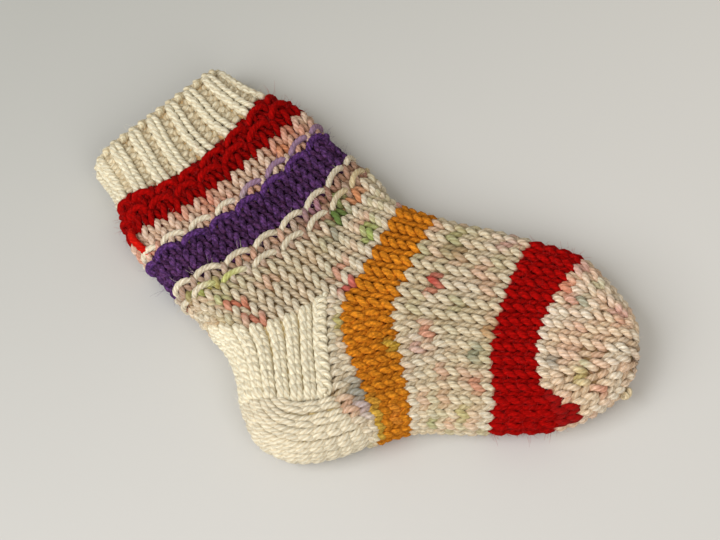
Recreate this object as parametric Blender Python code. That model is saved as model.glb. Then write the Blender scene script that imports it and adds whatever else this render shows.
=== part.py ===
"""Hand-knitted child's sock lying flat on its side, built section by section.

The sock is a flattened knitted tube.  Its stitches are addressed by a row number
and a column number.  Rows 0..25 run down the leg from the cast-on edge to the
heel, rows 25..52 run along the foot from the picked-up round to the toe.  A
round has 32 columns: 0 on the back / sole fold, 8 on the middle of the upper
side, 16 on the front / instep fold, 24 on the middle of the underside.
Every yarn section, the heel flap, the heel turn, the selvedge chains and the
rings of carried strands are separate bodies with a small gap between them.
"""
import math

import bpy
import numpy as np

for ob in list(bpy.data.objects):
    bpy.data.objects.remove(ob, do_unlink=True)

MM = 0.001
GAP = 0.17          # half of the gap left between neighbouring sections, mm
WALL = 3.3          # thickness of one knitted layer, mm
FOLD = 7.5          # radius of the rounded fold at both sides of the tube, mm

# ---------------------------------------------------------------- key stitch lines
# leg rows: row, back fold, middle of the upper side, front fold (plan mm)
LEG = [
    (0.0, (-80.6, 19.0), (-65.2, 38.0), (-50.0, 60.0)),
    (7.0, (-71.0, 6.5), (-51.0, 20.0), (-34.5, 52.0)),
    (10.0, (-65.0, -6.0), (-42.5, 14.5), (-22.5, 48.0)),
    (13.0, (-57.0, -14.0), (-33.0, 7.5), (-14.5, 39.0)),
    (17.0, (-48.0, -22.5), (-22.0, -0.5), (-5.0, 31.0)),
    (19.0, (-44.0, -26.0), (-16.5, -3.5), (0.5, 27.5)),
    (25.0, (-38.5, -31.0), (-6.5, -18.5), (7.0, 19.0)),
]
# foot rounds: round, then sole fold, three points up to the gusset line,
# the gusset line itself, one point on the instep, the instep fold (plan mm)
FOOT = [
    (0.0, (11.5, -60.0), (5.0, -57.0), (0.5, -50.5), (-3.5, -35.5), (-6.5, -18.5), (-0.5, -2.0), (7.0, 19.0)),
    (2.0, (13.5, -59.0), (9.5, -52.5), (5.0, -43.5), (0.0, -33.5), (-2.0, -21.0), (3.0, -6.5), (10.0, 17.0)),
    (6.0, (21.5, -55.0), (19.5, -48.5), (17.0, -40.5), (14.5, -32.0), (12.0, -22.5), (14.5, -7.5), (20.5, 14.0)),
    (14.0, (42.5, -52.0), (42.5, -47.0), (41.0, -40.5), (40.0, -33.0), (40.5, -23.5), (43.0, -8.0), (48.0, 9.5)),
    (18.0, (60.0, -48.5), (56.0, -44.5), (53.5, -39.0), (52.0, -31.5), (52.5, -22.0), (56.5, -8.5), (63.0, 5.5)),
    (21.0, (69.0, -43.0), (65.5, -41.0), (62.5, -36.5), (60.5, -30.0), (61.0, -21.5), (65.0, -11.5), (71.0, -2.0)),
    (24.0, (75.5, -36.5), (73.5, -35.0), (71.5, -32.0), (70.0, -27.5), (70.5, -21.5), (73.0, -14.0), (76.5, -8.5)),
    (27.0, (79.0, -30.0), (80.0, -27.0), (80.5, -24.5), (80.8, -22.0), (80.5, -19.5), (80.0, -16.5), (79.0, -13.5)),
]
# heel flap rows: row, back fold, fourth column, eighth column
FLAP = [
    (0.0, (-38.5, -31.0), (-22.5, -31.0), (-6.5, -18.5)),
    (5.0, (-31.5, -38.0), (-19.5, -38.5), (-5.5, -28.0)),
    (10.0, (-27.0, -47.0), (-17.0, -47.0), (-2.8, -40.5)),
    (14.0, (-24.7, -54.9), (-14.0, -54.0), (-0.3, -50.8)),
]
# heel turn rows: row, back fold, second column, fourth column
TURN = [
    (0.0, (-24.7, -54.9), (-19.0, -54.7), (-14.0, -54.0)),
    (3.0, (-18.9, -64.3), (-14.0, -60.5), (-10.5, -55.0)),
    (6.0, (-8.3, -68.2), (-7.0, -62.5), (-6.8, -54.6)),
    (9.0, (2.5, -65.5), (0.5, -60.5), (-3.2, -53.4)),
    (12.0, (11.5, -60.0), (5.6, -57.4), (0.3, -51.6)),
]


def hermite(keys, x):
    """Smooth line through keys (position, values...), evaluated at x."""
    xs = [k[0] for k in keys]
    ps = [np.array(k[1], float) for k in keys]
    n = len(xs)
    tg = []
    for i in range(n):
        if i == 0:
            tg.append((ps[1] - ps[0]) / (xs[1] - xs[0]))
        elif i == n - 1:
            tg.append((ps[-1] - ps[-2]) / (xs[-1] - xs[-2]))
        else:
            a = (ps[i] - ps[i - 1]) / (xs[i] - xs[i - 1])
            b = (ps[i + 1] - ps[i]) / (xs[i + 1] - xs[i])
            ha, hb = xs[i] - xs[i - 1], xs[i + 1] - xs[i]
            tg.append((a * hb + b * ha) / (ha + hb))
    i = 0
    while i < n - 2 and x > xs[i + 1]:
        i += 1
    h = xs[i + 1] - xs[i]
    u = (x - xs[i]) / h
    if u < 0:
        return ps[0] + tg[0] * (x - xs[0])
    if u > 1:
        return ps[-1] + tg[-1] * (x - xs[-1])
    return ((2 * u ** 3 - 3 * u ** 2 + 1) * ps[i] + (u ** 3 - 2 * u ** 2 + u) * h * tg[i]
            + (3 * u ** 2 - 2 * u ** 3) * ps[i + 1] + (u ** 3 - u ** 2) * h * tg[i + 1])


def column(table, c):
    return [(row[0], row[c]) for row in table]


# front half lines run through the leg and the foot without a break
FRONT_M = [(r, m) for r, b, m, f in LEG[:-1]] + [(25.0 + row[0], row[5]) for row in FOOT]
FRONT_F = [(r, f) for r, b, m, f in LEG[:-1]] + [(25.0 + row[0], row[7]) for row in FOOT]
FRONT_D = ([(r, tuple(np.array(b) * -0.125 + np.array(m) * 0.75 + np.array(f) * 0.375)) for r, b, m, f in LEG[:-1]]
           + [(25.0 + row[0], row[6]) for row in FOOT])
BACK_B = [(r, b) for r, b, m, f in LEG]
BACK_E = ([(r, tuple(np.array(b) * 0.375 + np.array(m) * 0.75 - np.array(f) * 0.125)) for r, b, m, f in LEG[:-1]]
          + [(25.0, (-22.5, -31.0))])


def row_points(r):
    """Plan control points of row r, fold to fold, with their curve parameters."""
    if r <= 25.0:
        pts = [hermite(BACK_B, r), hermite(BACK_E, r), hermite(FRONT_M, r), hermite(FRONT_D, r), hermite(FRONT_F, r)]
        mid = 2
    else:
        f = r - 25.0
        pts = [hermite(column(FOOT, c), f) for c in range(1, 5)]
        pts += [hermite(FRONT_M, r), hermite(FRONT_D, r), hermite(FRONT_F, r)]
        mid = 4
    return pts, mid


def spline(pts, n, start=None, end=None):
    """Dense smooth plan curve through pts, with given end directions if any."""
    m = len(pts)
    h = [max(1e-6, float(np.linalg.norm(q - p)) ** 0.9) for p, q in zip(pts[:-1], pts[1:])]
    tg = []
    for i in range(m):
        if i == 0:
            tg.append((pts[1] - pts[0]) / h[0])
        elif i == m - 1:
            tg.append((pts[-1] - pts[-2]) / h[-1])
        else:
            u, v = (pts[i] - pts[i - 1]) / h[i - 1], (pts[i + 1] - pts[i]) / h[i]
            tg.append((u * h[i] + v * h[i - 1]) / (h[i - 1] + h[i]))
    if start is not None:
        tg[0] = start * float(np.linalg.norm(tg[0]))
    if end is not None:
        tg[-1] = end * float(np.linalg.norm(tg[-1]))
    out = []
    for i in range(m - 1):
        for k in range(n):
            u = k / n
            out.append((2 * u ** 3 - 3 * u ** 2 + 1) * pts[i] + (u ** 3 - 2 * u ** 2 + u) * h[i] * tg[i]
                       + (3 * u ** 2 - 2 * u ** 3) * pts[i + 1] + (u ** 3 - u ** 2) * h[i] * tg[i + 1])
    out.append(pts[-1])
    return np.array(out)


def unit(v):
    return v / max(1e-9, float(np.linalg.norm(v)))


def row_curve(r):
    """Plan curve of row r from the back fold to the front fold, with a corner at the gusset."""
    pts, mid = row_points(r)
    through = unit(pts[mid + 1] - pts[mid - 1])
    if r <= 25.0:
        front = back = through
    else:
        w = min(1.0, (r - 25.0) / 6.0)
        w = w * w * (3 - 2 * w)
        leg_way = unit(np.array([-0.5, -2.5]) - np.array([-22.5, -31.0]))
        front = unit(leg_way * (1 - w) + through * w)
        back = unit(unit(pts[mid] - pts[mid - 1]) * (1 - w) + through * w)
    head = spline(pts[:mid + 1], 24, end=back)
    tail = spline(pts[mid:], 36, start=front)
    return np.vstack([head[:-1], tail])


def outline():
    """Closed plan outline of the folds, carried on past the open cuff."""
    back = [hermite(BACK_B, r) for r in np.linspace(0, 25, 40)]
    heel = [hermite(column(FLAP, 1), j) for j in np.linspace(0.5, 14, 18)]
    heel += [hermite(column(TURN, 1), j) for j in np.linspace(0.5, 12, 22)]
    sole = [hermite(column(FOOT, 1), f) for f in np.linspace(0.5, 27, 50)]
    tip = [np.array(p, float) for p in FOOT[-1][2:7]]
    front = [hermite(FRONT_F, r) for r in np.linspace(52, 0, 90)]
    b0, f0 = hermite(BACK_B, 0), hermite(FRONT_F, 0)
    out = np.array([b0[0] - hermite(FRONT_M, 4)[0], 0]) * 0
    away = hermite(FRONT_M, 0) - hermite(FRONT_M, 5)
    away = away / np.linalg.norm(away) * 40.0
    return np.array([b0 + away + out] + back + heel + sole + tip + front + [f0 + away])


RIM = outline()


def fold_distance(xy):
    """Plan distance from points to the outline of the folds."""
    a = RIM
    b = np.roll(RIM, -1, axis=0)
    ab = b - a
    ll = np.maximum((ab ** 2).sum(1), 1e-12)
    best = np.full(len(xy), 1e9)
    for i in range(len(a)):
        t = np.clip(((xy - a[i]) @ ab[i]) / ll[i], 0, 1)
        p = a[i] + t[:, None] * ab[i]
        best = np.minimum(best, np.sqrt(((xy - p) ** 2).sum(1)))
    return best


HALF = [(0.0, (6.6,)), (5.0, (6.8,)), (8.5, (7.4,)), (11.5, (6.9,)), (15.0, (7.6,)), (18.0, (7.0,)), (25.0, (7.4,)),
        (33.0, (7.7,)), (43.0, (7.7,)), (52.0, (7.0,))]


def sheet_height(xy, half, side, lift=0.0):
    """Height of the outer surface: rounded fold, then nearly flat."""
    d = fold_distance(xy)
    u = np.clip(d / FOLD, 0, 1)
    arc = np.sqrt(np.maximum(0.0, 1 - (1 - u) ** 2))
    if side > 0:
        return half + arc * half + 0.9 * (1 - np.exp(-np.maximum(d - 4, 0) / 14.0))
    return half - arc * (half - lift)


def fold_samples(length, inner=5):
    """Plan distances along a row: dense in the two rounded folds, sparse between."""
    rr = min(FOLD, length / 2.6)
    a = [rr * (1 - math.cos(math.radians(x))) for x in (0, 32, 62, 90)]
    mid = [rr + (length - 2 * rr) * k / (inner + 1) for k in range(1, inner + 1)]
    return a + mid + [length - x for x in reversed(a)]


def along(curve, dist):
    seg = np.sqrt((np.diff(curve, axis=0) ** 2).sum(1))
    s = np.concatenate([[0], np.cumsum(seg)])
    return np.stack([np.interp(dist, s, curve[:, 0]), np.interp(dist, s, curve[:, 1])], 1), s[-1]


def lift_at(r):
    return 2.15 if 7.0 < r < 19.3 else 0.0


def ring_loop(r, lift=None, samples=None):
    """Closed loop of outer surface points of row r: upper side then underside."""
    half = float(hermite(HALF, r)[0])
    lift = lift_at(r) if lift is None else lift
    curve = row_curve(r)
    length = along(curve, [0.0])[1]
    dist = fold_samples(length) if samples is None else [length * q for q in samples]
    xy, _ = along(curve, dist)
    zt = sheet_height(xy, half, 1)
    zb = sheet_height(xy, half, -1, lift)
    zt[0] = zt[-1] = half
    top = np.column_stack([xy, zt])
    bot = np.column_stack([xy, zb])[1:-1][::-1]
    return np.vstack([top, bot])


def loop_normals(r, lift, samples=None):
    """Outward normals of row r's loop, from its own direction and the rows beside it."""
    p = ring_loop(r, lift, samples)
    t = np.roll(p, -1, axis=0) - np.roll(p, 1, axis=0)
    v = ring_loop(min(r + 0.3, 51.9), lift, samples) - ring_loop(r - 0.3, lift, samples)
    n = np.cross(t, v)
    n /= np.maximum(np.linalg.norm(n, axis=1), 1e-9)[:, None]
    c = p.mean(0)
    if ((p - c) * n).sum() < 0:
        n = -n
    return n


class Solid:
    def __init__(self):
        self.v = []
        self.f = []

    def add(self, pts):
        k = len(self.v)
        self.v += [tuple(float(x) * MM for x in p) for p in pts]
        return list(range(k, k + len(pts)))

    def bridge(self, a, b, closed=True):
        n = len(a)
        for i in range(n if closed else n - 1):
            j = (i + 1) % n
            self.f.append((a[i], a[j], b[j], b[i]))

    def make(self, name, colour):
        mesh = bpy.data.meshes.new(name)
        mesh.from_pydata(self.v, [], self.f)
        mesh.validate(clean_customdata=False)
        vol = 0.0
        vs = [np.array(v) for v in self.v]
        for f in self.f:
            for k in range(1, len(f) - 1):
                vol += float(np.dot(vs[f[0]], np.cross(vs[f[k]], vs[f[k + 1]])))
        if vol < 0:
            mesh.flip_normals()
        ob = bpy.data.objects.new(name, mesh)
        bpy.context.scene.collection.objects.link(ob)
        mat = bpy.data.materials.new(name)
        mat.use_nodes = True
        bsdf = mat.node_tree.nodes["Principled BSDF"]
        bsdf.inputs["Base Color"].default_value = (*colour, 1.0)
        bsdf.inputs["Roughness"].default_value = 0.95
        mesh.materials.append(mat)
        return ob


def ring_section(name, colour, r0, r1, stations=3, grow=0.0, lift=None, wall=WALL, ribs=0):
    """Band of knitted tube between two rows: outer skin, inner skin, two end faces."""
    # rows may be squeezed at the folds, so the end gaps are set from the mean row pitch
    def trim(r):
        step = [np.linalg.norm(hermite(line, r + 0.5) - hermite(line, r - 0.5)) for line in (FRONT_M, FRONT_F)]
        if r < 25.0:
            step.append(np.linalg.norm(hermite(BACK_B, r + 0.5) - hermite(BACK_B, r - 0.5)))
        return GAP / max(0.9, float(min(step)))
    a, b = r0 + trim(r0), r1 - trim(r1)
    samples = None
    if ribs:
        samples = [(1 - math.cos(math.pi * k / ribs)) / 2 * 0.35 + (k / ribs) * 0.65 for k in range(ribs + 1)]
    rows = np.linspace(a, b, stations)
    lift = lift_at((a + b) / 2) if lift is None else lift
    loops = [ring_loop(r, lift, samples) for r in rows]
    s = Solid()
    outer, inner = [], []
    for i in range(len(loops)):
        n = loop_normals(rows[i], lift, samples)
        p = loops[i] + n * grow
        if ribs:
            bump = np.array([0.55 if k % 2 == 0 else -0.35 for k in range(len(p))])
            keep = loops[i][:, 2] > 0.5
            p = loops[i] + n * (bump * keep)[:, None]
        p[:, 2] = np.maximum(p[:, 2], 0.0)
        outer.append(s.add(p))
        inner.append(s.add(loops[i] - n * wall))
    for i in range(len(loops) - 1):
        s.bridge(outer[i], outer[i + 1])
        s.bridge(inner[i + 1], inner[i])
    s.bridge(inner[0], outer[0])
    s.bridge(outer[-1], inner[-1])
    return s.make(name, colour)


def toe_section(name, colour, r0, r1):
    """Closed end of the tube: the skins meet at the tip, open towards the foot."""
    pitch = 3.0
    a = r0 + GAP / pitch
    rows = list(np.linspace(a, r1 - 1.1, 5)) + [r1 - 0.35]
    loops = [ring_loop(r) for r in rows]
    n_side = (len(loops[0]) + 2) // 2
    s = Solid()
    outer = [s.add(p) for p in loops]
    inner = []
    for i in range(4):
        inner.append(s.add(loops[i] - loop_normals(rows[i], 0.0) * WALL))
    for i in range(len(outer) - 1):
        s.bridge(outer[i], outer[i + 1])
    for i in range(len(inner) - 1):
        s.bridge(inner[i + 1], inner[i])
    s.bridge(inner[0], outer[0])

    def close(loop, flip):
        top = loop[:n_side]
        bot = [loop[0]] + loop[n_side:][::-1] + [loop[n_side - 1]]
        for k in range(n_side - 1):
            q = [top[k], top[k + 1], bot[k + 1], bot[k]]
            u = []
            for x in q:
                if x not in u:
                    u.append(x)
            s.f.append(tuple(u if flip else u[::-1]))
    close(outer[-1], True)
    close(inner[-1], False)
    return s.make(name, colour)


def patch_xy(table, j, k, kmax):
    """Plan point of a heel patch at row j and column k."""
    p0, p1, p2 = (hermite(column(table, c), j) for c in (1, 2, 3))
    u = k / kmax
    return p0 * (1 - u) * (1 - 2 * u) + p1 * 4 * u * (1 - u) + p2 * u * (2 * u - 1)


def patch_section(name, colour, table, kmax, j0, j1, nj, ks, half0, half1, grow=0.0, wall=WALL):
    """Shell wrapped over the back fold: columns from the upper side round to the underside."""
    s = Solid()
    rows = np.linspace(j0, j1, nj)
    lines = []
    for idx, j in enumerate(rows):
        half = half0 + (half1 - half0) * idx / (nj - 1)
        xy = np.array([patch_xy(table, j, abs(k), kmax) for k in ks])
        z = np.array([sheet_height(xy[i:i + 1], half, 1 if ks[i] >= 0 else -1)[0] if abs(ks[i]) > 1e-6 else half
                      for i in range(len(ks))])
        lines.append(np.column_stack([xy, z]))
    grid = np.array(lines)
    du = np.gradient(grid, axis=1)
    dv = np.gradient(grid, axis=0)
    nrm = np.cross(du, dv)
    nrm /= np.maximum(np.linalg.norm(nrm, axis=2), 1e-9)[:, :, None]
    # outward: the top side must point up
    top = [i for i, k in enumerate(ks) if k > 0]
    low = [i for i, k in enumerate(ks) if k < 0]
    score = (nrm[:, top, 2].sum() if top else 0.0) - (nrm[:, low, 2].sum() if low else 0.0)
    if score < 0:
        nrm = -nrm
    og = grid + nrm * grow
    og[:, :, 2] = np.maximum(og[:, :, 2], 0.0)
    outer = [s.add(line) for line in og]
    inner = [s.add(line) for line in grid - nrm * wall]
    for i in range(nj - 1):
        s.bridge(outer[i], outer[i + 1], closed=False)
        s.bridge(inner[i + 1], inner[i], closed=False)
    s.bridge(inner[0], outer[0], closed=False)
    s.bridge(outer[-1], inner[-1], closed=False)
    left = [row[0] for row in outer], [row[0] for row in inner]
    right = [row[-1] for row in outer], [row[-1] for row in inner]
    s.bridge(left[0], left[1], closed=False)
    s.bridge(right[1], right[0], closed=False)
    return s.make(name, colour)


def tube(name, colour, path, radius, sides=6, closed=False):
    """Round strand swept along a path (mm)."""
    p = np.array(path, float)
    n = len(p)
    s = Solid()
    rings = []
    prev = np.array([0.0, 0.0, 1.0])
    frames = []
    for i in range(n):
        if closed:
            t = p[(i + 1) % n] - p[(i - 1) % n]
        else:
            t = p[min(i + 1, n - 1)] - p[max(i - 1, 0)]
        t /= np.linalg.norm(t)
        side = np.cross(t, prev)
        if np.linalg.norm(side) < 1e-6:
            side = np.cross(t, np.array([1.0, 0.0, 0.0]))
        side /= np.linalg.norm(side)
        up = np.cross(side, t)
        prev = up
        frames.append((side, up))
    for i in range(n):
        side, up = frames[i]
        rings.append(s.add([p[i] + radius * (math.cos(a) * side + math.sin(a) * up)
                            for a in [2 * math.pi * k / sides for k in range(sides)]]))
    for i in range(n if closed else n - 1):
        a, b = rings[i], rings[(i + 1) % n]
        shift = 0
        if closed and i == n - 1:
            # the frame is carried round the loop, so the seam is closed with the nearest twist
            best = None
            for k in range(sides):
                d = sum(float(np.linalg.norm(np.array(s.v[a[m]]) - np.array(s.v[b[(m + k) % sides]])))
                        for m in range(sides))
                if best is None or d < best:
                    best, shift = d, k
        s.bridge(a, [b[(m + shift) % sides] for m in range(sides)])
    if not closed:
        s.f.append(tuple(reversed(rings[0])))
        s.f.append(tuple(rings[-1]))
    return s.make(name, colour)


def float_ring(name, colour, r, phase, radius=0.85):
    """Strand carried round the leg in front of the stitches, one arc over every two stitches."""
    per_arc = 3
    count = 16 * per_arc
    path = []
    half = float(hermite(HALF, r)[0])
    lift = lift_at(r)

    def loop_at(rr):
        curve = row_curve(rr)
        xy = curve
        zt = sheet_height(xy, half, 1)
        zb = sheet_height(xy, half, -1, lift)
        top = np.column_stack([xy, zt])
        top[0, 2] = top[-1, 2] = half
        # fill the steep part of the folds with points so that arc length is true
        bot = np.column_stack([xy, zb])[1:-1][::-1]
        ring = np.vstack([top, bot])
        seg = np.sqrt(((np.roll(ring, -1, axis=0) - ring) ** 2).sum(1))
        s = np.concatenate([[0], np.cumsum(seg)])
        closed = np.vstack([ring, ring[:1]])
        return closed, s

    for i in range(count):
        share = i / count
        bulge = abs(math.sin(math.pi * (i / per_arc + phase)))
        rr = r + 0.12 - 0.42 * bulge
        closed, s = loop_at(rr)
        d = share * s[-1]
        q = np.array([np.interp(d, s, closed[:, c]) for c in range(3)])
        e = 0.6
        q1 = np.array([np.interp((d + e) % s[-1], s, closed[:, c]) for c in range(3)])
        q0 = np.array([np.interp((d - e) % s[-1], s, closed[:, c]) for c in range(3)])
        t = q1 - q0
        v = hermite(FRONT_M, rr + 0.5) - hermite(FRONT_M, rr - 0.5)
        nrm = np.cross(t, np.array([v[0], v[1], 0.0]))
        nrm /= np.linalg.norm(nrm)
        c = closed[:-1].mean(0)
        if np.dot(nrm, q - c) < 0:
            nrm = -nrm
        path.append(q + nrm * (radius + 0.32 + 0.15 * bulge))
    path = np.array(path)
    path[:, 2] = np.maximum(path[:, 2], radius + 0.12)
    return tube(name, colour, path, radius, sides=5, closed=True)


IVORY = (0.80, 0.74, 0.60)
RED = (0.42, 0.012, 0.010)
PEACH = (0.74, 0.52, 0.40)
PURPLE = (0.075, 0.030, 0.120)
PALE = (0.62, 0.56, 0.44)
GOLD = (0.55, 0.26, 0.035)
LILAC = (0.38, 0.28, 0.40)

ring_section("cast_on_edge", IVORY, -0.55, 0.0, stations=2, grow=0.25)
ring_section("ribbed_cuff", IVORY, 0.0, 7.0, stations=3, ribs=30)
ring_section("red_float_band", RED, 7.0, 10.0, stations=3)
ring_section("peach_band", PEACH, 10.0, 12.6, stations=2)
ring_section("purple_band", PURPLE, 12.6, 16.7, stations=3)
ring_section("pale_float_band", PALE, 16.7, 18.7, stations=2)
ring_section("leg_variegated_band", PALE, 18.8, 25.0, stations=3)
ring_section("gusset_band", PALE, 25.06, 27.0, stations=3)
ring_section("gold_stripe", GOLD, 27.0, 31.0, stations=3)
ring_section("foot_variegated_band", PALE, 31.0, 39.0, stations=4)
ring_section("red_toe_stripe", RED, 39.0, 43.0, stations=3)
toe_section("toe_cap", PALE, 43.0, 52.0)

KS = [7.32, 6.2, 5.0, 3.9, 2.9, 2.0, 1.25, 0.6, 0.0, -0.6, -1.25, -2.0, -2.9, -3.9, -5.0, -6.2, -7.32]
patch_section("heel_flap", IVORY, FLAP, 8.0, 0.45, 13.78, 6, KS, 7.4, 7.5)
KT = [3.86, 3.1, 2.3, 1.6, 1.0, 0.5, 0.0, -0.5, -1.0, -1.6, -2.3, -3.1, -3.86]
patch_section("heel_turn", IVORY, TURN, 4.0, 0.24, 11.72, 8, KT, 7.5, 7.55)
patch_section("flap_chain_near", IVORY, FLAP, 8.0, 0.55, 13.6, 7, [7.80, 7.44], 7.4, 7.5, grow=0.55)
patch_section("flap_chain_far", IVORY, FLAP, 8.0, 0.55, 13.6, 7, [-7.44, -7.80], 7.4, 7.5)

float_ring("red_float_upper", RED, 7.75, 0.0)
float_ring("red_float_lower", RED, 8.85, 0.5)
float_ring("lilac_float", LILAC, 12.1, 0.0)
float_ring("purple_float", PURPLE, 13.2, 0.5)
float_ring("pale_float_upper", PALE, 16.85, 0.0)
float_ring("pale_float_lower", PALE, 18.4, 0.5)

# slack end of the red yarn, looped against the back fold below the red band
b9, b11 = hermite(BACK_B, 9.2), hermite(BACK_B, 12.0)
out = np.array([-(b11 - b9)[1] * -1.0, (b11 - b9)[0] * -1.0])
out = out / np.linalg.norm(out)
if np.dot(out, hermite(FRONT_M, 10.0) - b9) > 0:
    out = -out
loop = []
for i in range(9):
    u = i / 8
    base = hermite(BACK_B, 9.2 + 2.6 * u)
    off = 1.25 + 1.9 * math.sin(math.pi * u)
    p = base + out * off
    loop.append((p[0], p[1], 4.6 + 1.2 * math.sin(math.pi * u)))
tube("red_loose_strand", RED, loop, 0.8)

# knotted yarn end at the sole side of the toe
k0 = hermite(column(FOOT, 1), 24.6)
k1 = hermite(column(FOOT, 1), 25.4)
kd = (k1 - k0) / np.linalg.norm(k1 - k0)
ko = np.array([kd[1], -kd[0]])
knot = []
for i in range(7):
    u = i / 6
    p = k0 + kd * (3.2 * u - 1.0) + ko * (1.45 + 0.7 * math.sin(math.pi * u))
    knot.append((p[0], p[1], 6.0 + 0.9 * math.sin(math.pi * u)))
tube("toe_yarn_end", PALE, knot, 0.95)

# put the origin under the middle of the sock
lo = np.array([1e9] * 3)
hi = -lo
for ob in bpy.data.objects:
    for v in ob.data.vertices:
        c = np.array(v.co)
        lo, hi = np.minimum(lo, c), np.maximum(hi, c)
shift = np.array([(lo[0] + hi[0]) / 2, (lo[1] + hi[1]) / 2, lo[2]])
for ob in bpy.data.objects:
    for v in ob.data.vertices:
        v.co = tuple(np.array(v.co) - shift)
print("shift mm", np.round(shift * 1000, 4), "size mm", np.round((hi - lo) * 1000, 2),
      "triangles", sum(len(p.vertices) - 2 for ob in bpy.data.objects for p in ob.data.polygons))
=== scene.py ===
"""Hand-knitted child's sock: every stitch is a strand of plied yarn laid on the frame's sections."""
import math

import bpy
import numpy as np
from mathutils import Matrix, Vector


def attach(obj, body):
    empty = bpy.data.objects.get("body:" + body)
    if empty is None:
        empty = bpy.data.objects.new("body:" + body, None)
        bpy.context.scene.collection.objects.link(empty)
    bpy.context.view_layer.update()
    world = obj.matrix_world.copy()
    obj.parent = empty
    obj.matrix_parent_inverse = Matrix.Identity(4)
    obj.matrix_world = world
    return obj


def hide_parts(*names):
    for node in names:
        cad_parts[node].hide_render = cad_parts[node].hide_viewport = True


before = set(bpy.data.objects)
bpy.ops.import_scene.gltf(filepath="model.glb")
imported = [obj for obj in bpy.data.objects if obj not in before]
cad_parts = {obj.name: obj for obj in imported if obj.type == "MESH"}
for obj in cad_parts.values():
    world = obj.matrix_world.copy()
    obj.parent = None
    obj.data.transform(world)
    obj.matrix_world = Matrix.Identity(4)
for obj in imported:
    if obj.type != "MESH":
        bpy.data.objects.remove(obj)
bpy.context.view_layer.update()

MM = 0.001
SHIFT = np.array([0.8745, 3.6309, 0.0])   # stitch-plan origin in the row frame, mm
FOLD = 7.5
DEPTH = 1.75                            # middle of the knitted layer below its outer surface, mm

# ---------------------------------------------------------------- stitch plan (same as the CAD)
LEG = [
    (0.0, (-80.6, 19.0), (-65.2, 38.0), (-50.0, 60.0)),
    (7.0, (-71.0, 6.5), (-51.0, 20.0), (-34.5, 52.0)),
    (10.0, (-65.0, -6.0), (-42.5, 14.5), (-22.5, 48.0)),
    (13.0, (-57.0, -14.0), (-33.0, 7.5), (-14.5, 39.0)),
    (17.0, (-48.0, -22.5), (-22.0, -0.5), (-5.0, 31.0)),
    (19.0, (-44.0, -26.0), (-16.5, -3.5), (0.5, 27.5)),
    (25.0, (-38.5, -31.0), (-6.5, -18.5), (7.0, 19.0)),
]
FOOT = [
    (0.0, (11.5, -60.0), (5.0, -57.0), (0.5, -50.5), (-3.5, -35.5), (-6.5, -18.5), (-0.5, -2.0), (7.0, 19.0)),
    (2.0, (13.5, -59.0), (9.5, -52.5), (5.0, -43.5), (0.0, -33.5), (-2.0, -21.0), (3.0, -6.5), (10.0, 17.0)),
    (6.0, (21.5, -55.0), (19.5, -48.5), (17.0, -40.5), (14.5, -32.0), (12.0, -22.5), (14.5, -7.5), (20.5, 14.0)),
    (14.0, (42.5, -52.0), (42.5, -47.0), (41.0, -40.5), (40.0, -33.0), (40.5, -23.5), (43.0, -8.0), (48.0, 9.5)),
    (18.0, (60.0, -48.5), (56.0, -44.5), (53.5, -39.0), (52.0, -31.5), (52.5, -22.0), (56.5, -8.5), (63.0, 5.5)),
    (21.0, (69.0, -43.0), (65.5, -41.0), (62.5, -36.5), (60.5, -30.0), (61.0, -21.5), (65.0, -11.5), (71.0, -2.0)),
    (24.0, (75.5, -36.5), (73.5, -35.0), (71.5, -32.0), (70.0, -27.5), (70.5, -21.5), (73.0, -14.0), (76.5, -8.5)),
    (27.0, (79.0, -30.0), (80.0, -27.0), (80.5, -24.5), (80.8, -22.0), (80.5, -19.5), (80.0, -16.5), (79.0, -13.5)),
]
FLAP = [
    (0.0, (-38.5, -31.0), (-22.5, -31.0), (-6.5, -18.5)),
    (5.0, (-31.5, -38.0), (-19.5, -38.5), (-5.5, -28.0)),
    (10.0, (-27.0, -47.0), (-17.0, -47.0), (-2.8, -40.5)),
    (14.0, (-24.7, -54.9), (-14.0, -54.0), (-0.3, -50.8)),
]
TURN = [
    (0.0, (-24.7, -54.9), (-19.0, -54.7), (-14.0, -54.0)),
    (3.0, (-18.9, -64.3), (-14.0, -60.5), (-10.5, -55.0)),
    (6.0, (-8.3, -68.2), (-7.0, -62.5), (-6.8, -54.6)),
    (9.0, (2.5, -65.5), (0.5, -60.5), (-3.2, -53.4)),
    (12.0, (11.5, -60.0), (5.6, -57.4), (0.3, -51.6)),
]


def hermite(keys, x):
    xs = [k[0] for k in keys]
    ps = [np.array(k[1], float) for k in keys]
    n = len(xs)
    tg = []
    for i in range(n):
        if i == 0:
            tg.append((ps[1] - ps[0]) / (xs[1] - xs[0]))
        elif i == n - 1:
            tg.append((ps[-1] - ps[-2]) / (xs[-1] - xs[-2]))
        else:
            a = (ps[i] - ps[i - 1]) / (xs[i] - xs[i - 1])
            b = (ps[i + 1] - ps[i]) / (xs[i + 1] - xs[i])
            ha, hb = xs[i] - xs[i - 1], xs[i + 1] - xs[i]
            tg.append((a * hb + b * ha) / (ha + hb))
    i = 0
    while i < n - 2 and x > xs[i + 1]:
        i += 1
    h = xs[i + 1] - xs[i]
    u = (x - xs[i]) / h
    if u < 0:
        return ps[0] + tg[0] * (x - xs[0])
    if u > 1:
        return ps[-1] + tg[-1] * (x - xs[-1])
    return ((2 * u ** 3 - 3 * u ** 2 + 1) * ps[i] + (u ** 3 - 2 * u ** 2 + u) * h * tg[i]
            + (3 * u ** 2 - 2 * u ** 3) * ps[i + 1] + (u ** 3 - u ** 2) * h * tg[i + 1])


def column(table, c):
    return [(row[0], row[c]) for row in table]


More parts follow.
